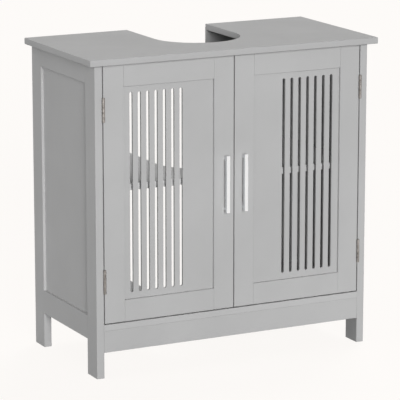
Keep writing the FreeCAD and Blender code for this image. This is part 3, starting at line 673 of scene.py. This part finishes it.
class CABINET_OT_hinges(bpy.types.Operator):
    """Make the four butt hinges: leaves, rolled knuckles and pins with domed heads."""

    bl_idname = "cabinet.hinges"
    bl_label = "Hinges"

    def execute(self, context):
        metal = context.scene.cabinet_metal
        plating = aged_plating("aged_hinge_plating", metal.hinge)
        pins = bmesh.new()
        for side in SIDES:
            joint = next(j for j in frame["joints"] if j["child"] == DOORS[side])
            axis = Vector(joint["pos_m"])
            for which in ("upper", "lower"):
                for kind, own, drills in (("frame", (0, 2, 4), "frame_leaf_screws"),
                                          ("door", (1, 3), f"{side}_door_leaf_screws")):
                    node = f"{side}_{which}_{kind}_leaf"
                    low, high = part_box(node)
                    middles = [(ends[0] + ends[1]) / 2 for ends in solids(drills)]
                    spots = [spot for spot in middles
                             if spot.x * axis.x > 0 and low.z < spot.z < high.z]
                    # A leaf lies against the frame or the door, away from the hinge's axis.
                    sign = SIDE_SIGNS[side] * (1 if kind == "frame" else -1)
                    face = axis.x + sign * DOOR_GAP / 2
                    piece = self.leaf(axis, face, sign, low.z, high.y, own, spots)
                    settle(piece, f"hinge_{side}_{which}_{kind}_leaf", plating,
                           node)
            feet = [ends for ends in solids("hinge_pins")
                    if abs((ends[0].x + ends[1].x) / 2 - axis.x) < KNUCKLE_RADIUS]
            for low, high in feet:
                foot = Vector((axis.x, axis.y, low.z))
                join(pins, turned(foot, (0, 0, 1), self.pin_profile(high.z - low.z)))
        settle(pins, "hinge_pins_domed", plating, "hinge_pins")
        return {"FINISHED"}

    def leaf(self, axis, face, sign, foot, back, own, spots):
        """A plate with rounded corners and its own knuckles rolled round the pin."""
        piece = bmesh.new()
        step = HINGE_HEIGHT / KNUCKLE_COUNT
        inner = face - sign * LEAF_THICKNESS
        root = axis.y + KNUCKLE_RADIUS + KNUCKLE_PLAY
        low = Vector((min(face, inner), root, foot))
        high = Vector((max(face, inner), back, foot + HINGE_HEIGHT))
        join(piece, self.plate(inner, face, low, high, spots))
        for index in own:
            start = foot + index * step + KNUCKLE_PLAY / 2
            end = foot + (index + 1) * step - KNUCKLE_PLAY / 2
            # This strip joins the plate to the knuckle. It starts level with the axis, so it
            # runs into the pin inside the knuckle, where it can't be seen.
            strip_low = Vector((low.x, axis.y, start))
            strip_high = Vector((high.x, root + STRIP_REACH, end))
            join(piece, slab(strip_low, strip_high, STRIP_ARRIS, 1))
            length = end - start
            ease = KNUCKLE_ARRIS
            bore = PIN_RADIUS + PIN_PLAY
            ring = [(bore, 0), (KNUCKLE_RADIUS - ease, 0), (KNUCKLE_RADIUS, ease),
                    (KNUCKLE_RADIUS, length - ease), (KNUCKLE_RADIUS - ease, length),
                    (bore, length), (bore, 0)]
            join(piece, turned(Vector((axis.x, axis.y, start)), (0, 0, 1), ring))
        return piece

    def plate(self, inner, face, low, high, spots):
        """A plate with round far corners, countersunk from its inner face for its screws."""
        part = bmesh.new()
        corners = [part.verts.new((inner, y, z)) for y, z in
                   ((low.y, low.z), (high.y, low.z), (high.y, high.z), (low.y, high.z))]
        part.faces.new(corners)
        bmesh.ops.bevel(part, geom=corners[1:3], offset=LEAF_CORNER, offset_type="OFFSET",
                        affect="VERTICES", segments=5, profile=0.5, material=-1)
        bmesh.ops.delete(part, geom=part.faces[:], context="FACES_ONLY")
        centres = [Vector((inner, spot.y, spot.z)) for spot in spots]
        for centre in centres:
            place = Matrix.Translation(centre) @ Matrix.Rotation(math.pi / 2, 4, "Y")
            bmesh.ops.create_circle(part, cap_ends=False, radius=HOLE_MOUTH, matrix=place,
                                    segments=bpy.context.scene.cabinet_metal.round_steps)
        bmesh.ops.triangle_fill(part, edges=part.edges[:], use_beauty=True)
        outer = bmesh.ops.extrude_face_region(part, geom=part.faces[:])["geom"]
        rim = HOLE_MOUTH * 1.01
        for vert in outer:
            if not isinstance(vert, bmesh.types.BMVert):
                continue
            for centre in centres:
                if (vert.co - centre).length < rim:
                    vert.co = centre + (vert.co - centre) * HOLE_THROAT / HOLE_MOUTH
            vert.co.x = face
        sharp = [edge for edge in part.edges if edge.calc_face_angle(0) > SQUARE_ANGLE
                 and all((vert.co.yz - centre.yz).length > rim
                         for vert in edge.verts for centre in centres)]
        round_over(part, sharp, LEAF_ARRIS, 2)
        return part

    def pin_profile(self, length):
        """A pin with a low dome at each end."""
        head = PIN_HEAD_HEIGHT
        wide = PIN_HEAD_RADIUS
        foot = [(0, 0), (wide * 0.5, 0.06 * MM), (wide * 0.84, 0.24 * MM),
                (wide, 0.5 * MM), (wide, head), (PIN_RADIUS, head)]
        return foot + [(radius, length - distance) for radius, distance in reversed(foot)]


class CABINET_OT_screws(bpy.types.Operator):
    """Make the screws of the hinges, the catches, the back panels and the handles."""

    bl_idname = "cabinet.screws"
    bl_label = "Screws"

    def execute(self, context):
        metal = context.scene.cabinet_metal
        plating = aged_plating("aged_screw_plating", shade(metal.hinge, 1.12))
        zinc = zinc_plating("zinc_screws", metal.zinc)
        radii = {"hinge_metal": LEAF_SCREW_RADIUS, "zinc_plate": PLATE_SCREW_RADIUS}
        groups = [("frame_leaf_screws", "x", plating, "hinge_metal"),
                  ("left_door_leaf_screws", "x", plating, "hinge_metal"),
                  ("right_door_leaf_screws", "x", plating, "hinge_metal"),
                  ("catch_screws", "z", zinc, "zinc_plate"),
                  ("back_panel_screws", "y", zinc, "zinc_plate"),
                  ("left_strike_screw", "y", zinc, "zinc_plate"),
                  ("right_strike_screw", "y", zinc, "zinc_plate")]
        for node, axis, finish, slot in groups:
            piece = bmesh.new()
            for low, high in solids(node):
                point, inward, length = self.seat(node, axis, low, high)
                join(piece, flat_screw(point, inward, radii[slot], length))
            settle(piece, f"cross_{node}", finish, node)
        for side in SIDES:
            node = f"{side}_handle_screws"
            piece = bmesh.new()
            for low, high in solids(node):
                middle = (low + high) / 2
                top = Vector((middle.x, high.y, middle.z))
                length = high.y - low.y
                profile = [(2.6 * MM, 0.02 * MM), (3.3 * MM, 0.25 * MM), (3.8 * MM, 0.8 * MM),
                           (4.0 * MM, 1.5 * MM), (4.0 * MM, 2.2 * MM), (2.0 * MM, 2.2 * MM),
                           (2.0 * MM, length - 0.5 * MM), (1.5 * MM, length), (0, length)]
                join(piece, cross_headed(top, (0, -1, 0), profile, arm=2.0 * MM,
                                         width=0.8 * MM, depth=1.4 * MM))
            settle(piece, f"pan_{node}", zinc, node)
        return {"FINISHED"}

    def seat(self, node, axis, low, high):
        """The middle of a screw's head, the way it is driven and its length."""
        middle = (low + high) / 2
        if axis == "z":
            return Vector((middle.x, middle.y, low.z)), (0, 0, 1), high.z - low.z
        if axis == "y":
            return Vector((middle.x, high.y, middle.z)), (0, -1, 0), high.y - low.y
        # A frame leaf's screw is driven away from the doors, a door leaf's into its door.
        outward = 1 if middle.x > 0 else -1
        drive = outward if node.startswith("frame") else -outward
        head = low.x if drive > 0 else high.x
        return Vector((head, middle.y, middle.z)), (drive, 0, 0), high.x - low.x


class CABINET_OT_catches(bpy.types.Operator):
    """Finish the magnetic catches under the worktop and the strike plates on the doors."""

    bl_idname = "cabinet.catches"
    bl_label = "Catches"

    def execute(self, context):
        metal = context.scene.cabinet_metal
        plastic = moulded_plastic("catch_plastic", (0.78, 0.775, 0.76))
        steel = brushed_metal("catch_steel", (0.42, 0.42, 0.42), roughness=0.4, line=0.0006,
                              stretch=(0.05, 1, 1))
        zinc = zinc_plating("strike_zinc", metal.zinc)
        for side in SIDES:
            dressed(f"{side}_catch_case", f"catch_{side}_case", plastic,
                    CASE_ARRIS, shortest=0.0018)
            self.magnet(side, steel)
            dressed(f"{side}_strike_plate", f"catch_{side}_strike", zinc,
                    STRIKE_ARRIS, shortest=0.0035)
        return {"FINISHED"}

    def magnet(self, side, steel):
        """The magnet, set back between its two steel pole plates."""
        node = f"{side}_catch_magnet"
        low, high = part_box(node)
        piece = bmesh.new()
        bottom = low.z + POLE_THICKNESS
        top = high.z - POLE_THICKNESS
        for start, end in ((low.z, bottom), (top, high.z)):
            join(piece, slab(Vector((low.x, low.y, start)), Vector((high.x, high.y, end)),
                             POLE_ARRIS))
        front = low.y + MAGNET_SETBACK
        join(piece, slab(Vector((low.x, front, bottom)), Vector((high.x, high.y, top)),
                         MAGNET_ARRIS))
        settle(piece, f"catch_{side}_magnet_stack", steel, node)


class CABINET_OT_fittings(bpy.types.Operator):
    """Make the shelf pins and the flat-pack dowels, bolts and cams."""

    bl_idname = "cabinet.fittings"
    bl_label = "Fittings"

    def execute(self, context):
        metal = context.scene.cabinet_metal
        zinc = zinc_plating("zinc_fittings", metal.zinc)
        cast = cast_metal("cast_cam", (0.46, 0.465, 0.47))
        beech = beech_wood("beech_dowel")
        self.shelf_pins(zinc)
        self.dowels(beech)
        self.bolts(zinc)
        self.cams(cast)
        return {"FINISHED"}

    def shelf_pins(self, finish):
        """A straight pin with a collar against the leg and a rounded nose."""
        piece = bmesh.new()
        radius, collar, thick = 2.5 * MM, 3.5 * MM, 0.7 * MM
        sunk, nose = 8.7 * MM, 8 * MM
        for low, high in solids("shelf_pins"):
            middle = (low + high) / 2
            inward = -1 if middle.x > 0 else 1
            seat = Vector(((high.x if inward < 0 else low.x) + inward * sunk,
                           middle.y, middle.z))
            profile = [(0, -sunk), (radius - 0.4 * MM, -sunk), (radius, 0.4 * MM - sunk),
                       (radius, 0), (collar - 0.15 * MM, 0), (collar, 0.15 * MM),
                       (collar, thick - 0.2 * MM), (collar - 0.2 * MM, thick),
                       (radius, thick), (radius, nose - 1.0 * MM),
                       (radius - 0.35 * MM, nose - 0.35 * MM), (radius - 1.0 * MM, nose),
                       (0, nose)]
            join(piece, turned(seat, (inward, 0, 0), profile))
        settle(piece, "shelf_pins_turned", finish, "shelf_pins")

    def dowels(self, finish):
        """Plain dowels with rounded ends."""
        piece = bmesh.new()
        for low, high in solids("wooden_dowels"):
            size = high - low
            which = max(range(3), key=lambda index: size[index])
            direction = Vector((0, 0, 0))
            direction[which] = 1
            start = (low + high) / 2
            start[which] = low[which]
            profile = rod_profile(DOWEL_RADIUS, 0, size[which], DOWEL_EASE)
            join(piece, turned(start, direction, profile))
        settle(piece, "beech_dowels", finish, "wooden_dowels")

    def bolts(self, finish):
        """Cam bolts: a foot with rings for its thread, a shaft, a waist and a round tip."""
        piece = bmesh.new()
        for low, high in solids("cam_bolts"):
            size = high - low
            foot = (low + high) / 2
            if size.z > size.x:
                foot.z, direction, length = high.z, (0, 0, -1), size.z
            elif foot.x < 0:
                foot.x, direction, length = low.x, (1, 0, 0), size.x
            else:
                foot.x, direction, length = high.x, (-1, 0, 0), size.x
            profile = [(0, 0), (1.6 * MM, 0), (1.9 * MM, 0.5 * MM)]
            for turn in range(6):
                rise = (0.9 + turn * 1.2) * MM
                profile += [(1.95 * MM, rise), (2.45 * MM, rise + 0.35 * MM),
                            (1.95 * MM, rise + 0.7 * MM)]
            profile += [(2.45 * MM, 8.6 * MM), (2.0 * MM, 8.75 * MM),
                        (2.0 * MM, length - 6.5 * MM), (1.5 * MM, length - 5.5 * MM),
                        (1.5 * MM, length - 3.2 * MM), (2.6 * MM, length - 2.9 * MM),
                        (2.95 * MM, length - 2.2 * MM), (2.95 * MM, length - 0.8 * MM),
                        (2.2 * MM, length), (0, length)]
            join(piece, turned(foot, direction, profile))
        settle(piece, "cam_bolts_turned", finish, "cam_bolts")

    def cams(self, finish):
        """Cam locks: a rimmed disc with a cross recess, hollow round the bolt's tip."""
        piece = bmesh.new()
        for low, high in solids("cam_locks"):
            middle = (low + high) / 2
            size = high - low
            thin = min(range(3), key=lambda index: size[index])
            # The face looks into the cabinet, down under the bottom panel or back.
            outlook = Vector((0, 0, 0))
            outlook[thin] = {0: -1 if middle.x > 0 else 1, 1: 1, 2: -1}[thin]
            face = middle.copy()
            face[thin] = high[thin] if outlook[thin] > 0 else low[thin]
            inward = -outlook
            # Two discs with the bolt's way between them, and a wall at its end.
            wide = CAM_RADIUS
            top = [(5.4 * MM, 0.02 * MM), (5.85 * MM, 0.1 * MM), (wide, 0.35 * MM),
                   (wide, 2.5 * MM), (5.8 * MM, 2.7 * MM), (0, 2.7 * MM)]
            join(piece, cross_headed(face, inward, top, arm=3.3 * MM, width=1.3 * MM,
                                     depth=1.7 * MM))
            foot = rod_profile(wide, 9.35 * MM, CAM_DEPTH, 0.2 * MM)
            join(piece, turned(face, inward, foot))
            spine = [(0, 2.6 * MM), (wide, 2.6 * MM), (wide, 9.4 * MM), (0, 9.4 * MM)]
            way = Vector((0, 0, -1))
            if thin != 0:
                way = Vector((-1 if middle.x > 0 else 1, 0, 0))
            join(piece, self.cam_wall(face, inward, way, spine))
        settle(piece, "cam_locks_cast", finish, "cam_locks")

    def cam_wall(self, face, inward, way, spine):
        """The part of the cam's wall that lies past the bolt's tip."""
        part = turned(face, inward, spine)
        bmesh.ops.bisect_plane(part, geom=part.verts[:] + part.edges[:] + part.faces[:],
                               plane_co=face + way * CAM_WALL_START, plane_no=way,
                               clear_inner=True)
        rims = [edge for edge in part.edges if edge.is_boundary]
        bmesh.ops.holes_fill(part, edges=rims, sides=0)
        return part


class CABINET_OT_stage(bpy.types.Operator):
    """Lay the pale floor, set the soft light and place the camera."""

    bl_idname = "cabinet.stage"
    bl_label = "Stage"

    def execute(self, context):
        stage = context.scene.cabinet_stage
        self.floor(stage)
        self.sky(stage)
        self.lamp("front_light", stage.front_strength, stage.front_height, stage.front_turn)
        self.lamp("side_light", stage.side_strength, stage.side_height, stage.side_turn)
        self.lamp("back_light", stage.back_strength, stage.back_height, stage.back_turn)
        self.camera(stage)
        context.scene.view_settings.view_transform = "Standard"
        return {"FINISHED"}

    def seen_rays(self, tree):
        """1 for rays from the camera, off mirrors and through glass, and 0 for the rest."""
        path = tree.nodes.new("ShaderNodeLightPath")
        total = None
        for ray in ("Is Camera Ray", "Is Glossy Ray", "Is Transmission Ray"):
            if total is None:
                total = path.outputs[ray]
                continue
            greater = tree.nodes.new("ShaderNodeMath")
            greater.operation = "MAXIMUM"
            tree.links.new(total, greater.inputs[0])
            tree.links.new(path.outputs[ray], greater.inputs[1])
            total = greater.outputs["Value"]
        return total

    def floor(self, stage):
        """A wide pale floor that still takes a soft shadow."""
        shape = bmesh.new()
        bmesh.ops.create_grid(shape, x_segments=1, y_segments=1, size=FLOOR_REACH)
        mesh = bpy.data.meshes.new("floor")
        shape.to_mesh(mesh)
        shape.free()
        floor = bpy.data.objects.new("floor", mesh)
        bpy.context.scene.collection.objects.link(floor)
        material = bpy.data.materials.new("pale_floor")
        material.use_nodes = True
        tree = material.node_tree
        tree.nodes.clear()
        lit = tree.nodes.new("ShaderNodeBsdfDiffuse")
        lit.inputs["Color"].default_value = (*LIT_FLOOR, 1)
        seen = tree.nodes.new("ShaderNodeBsdfDiffuse")
        lamps = (stage.front_strength * math.sin(stage.front_height)
                 + stage.side_strength * math.sin(stage.side_height)
                 + stage.back_strength * math.sin(stage.back_height)) / math.pi
        share = (1 - stage.floor_glow) / (stage.sky + lamps)
        seen.inputs["Color"].default_value = (*shade(stage.backdrop, share), 1)
        glow = tree.nodes.new("ShaderNodeEmission")
        glow.inputs["Color"].default_value = (*stage.backdrop, 1)
        glow.inputs["Strength"].default_value = stage.floor_glow
        both = tree.nodes.new("ShaderNodeAddShader")
        tree.links.new(seen.outputs["BSDF"], both.inputs[0])
        tree.links.new(glow.outputs["Emission"], both.inputs[1])
        mix = tree.nodes.new("ShaderNodeMixShader")
        tree.links.new(self.seen_rays(tree), mix.inputs["Fac"])
        tree.links.new(lit.outputs["BSDF"], mix.inputs[1])
        tree.links.new(both.outputs["Shader"], mix.inputs[2])
        output = tree.nodes.new("ShaderNodeOutputMaterial")
        tree.links.new(mix.outputs["Shader"], output.inputs["Surface"])
        mesh.materials.append(material)

    def sky(self, stage):
        """Even light from all round, seen by the camera as the pale backdrop."""
        world = bpy.data.worlds.new("studio_sky")
        world.use_nodes = True
        tree = world.node_tree
        tree.nodes.clear()
        light = tree.nodes.new("ShaderNodeBackground")
        light.inputs["Color"].default_value = (1, 1, 1, 1)
        light.inputs["Strength"].default_value = stage.sky
        backdrop = tree.nodes.new("ShaderNodeBackground")
        backdrop.inputs["Color"].default_value = (*stage.backdrop, 1)
        mix = tree.nodes.new("ShaderNodeMixShader")
        tree.links.new(self.seen_rays(tree), mix.inputs["Fac"])
        tree.links.new(light.outputs["Background"], mix.inputs[1])
        tree.links.new(backdrop.outputs["Background"], mix.inputs[2])
        output = tree.nodes.new("ShaderNodeOutputWorld")
        tree.links.new(mix.outputs["Shader"], output.inputs["Surface"])
        bpy.context.scene.world = world

    def lamp(self, name, strength, height, turn):
        """A wide, soft light from far away."""
        data = bpy.data.lights.new(name, "SUN")
        data.energy = strength
        data.angle = bpy.context.scene.cabinet_stage.light_width
        lamp = bpy.data.objects.new(name, data)
        lamp.rotation_euler = (math.pi / 2 - height, 0, turn)
        bpy.context.scene.collection.objects.link(lamp)

    def camera(self, stage):
        """The camera, where the fit to the photo's corners puts it."""
        data = bpy.data.cameras.new("camera")
        data.sensor_width = SENSOR_WIDTH
        data.lens = stage.lens
        data.clip_end = VIEW_DEPTH
        camera = bpy.data.objects.new("camera", data)
        camera.location = stage.camera_place
        camera.rotation_euler = (math.pi / 2 - stage.camera_drop, 0, -stage.camera_turn)
        bpy.context.scene.collection.objects.link(camera)
        bpy.context.scene.camera = camera


class CABINET_PT_sidebar(bpy.types.Panel):
    """The cabinet's settings and steps in the 3D view's sidebar."""

    bl_idname = "CABINET_PT_sidebar"
    bl_label = "Vanity cabinet"
    bl_space_type = "VIEW_3D"
    bl_region_type = "UI"
    bl_category = "Cabinet"

    def draw(self, context):
        for settings in (context.scene.cabinet_paint, context.scene.cabinet_metal,
                         context.scene.cabinet_stage):
            box = self.layout.box()
            for name in settings.__annotations__:
                box.prop(settings, name)
        for operator in OPERATORS:
            self.layout.operator(operator.bl_idname)


SETTINGS = {
    "cabinet_paint": PaintSettings,
    "cabinet_metal": MetalSettings,
    "cabinet_stage": StageSettings,
}
OPERATORS = (
    CABINET_OT_stage,
    CABINET_OT_carcass,
    CABINET_OT_doors,
    CABINET_OT_handles,
    CABINET_OT_hinges,
    CABINET_OT_screws,
    CABINET_OT_catches,
    CABINET_OT_fittings,
)


def register():
    for name, settings in SETTINGS.items():
        bpy.utils.register_class(settings)
        setattr(bpy.types.Scene, name, PointerProperty(type=settings))
    for operator in OPERATORS:
        bpy.utils.register_class(operator)
    bpy.utils.register_class(CABINET_PT_sidebar)


def unregister():
    bpy.utils.unregister_class(CABINET_PT_sidebar)
    for operator in reversed(OPERATORS):
        bpy.utils.unregister_class(operator)
    for name, settings in reversed(SETTINGS.items()):
        delattr(bpy.types.Scene, name)
        bpy.utils.unregister_class(settings)


def main():
    register()
    bpy.ops.cabinet.stage()
    bpy.ops.cabinet.carcass()
    bpy.ops.cabinet.doors()
    bpy.ops.cabinet.handles()
    bpy.ops.cabinet.hinges()
    bpy.ops.cabinet.screws()
    bpy.ops.cabinet.catches()
    bpy.ops.cabinet.fittings()


if __name__ == "__main__":
    main()
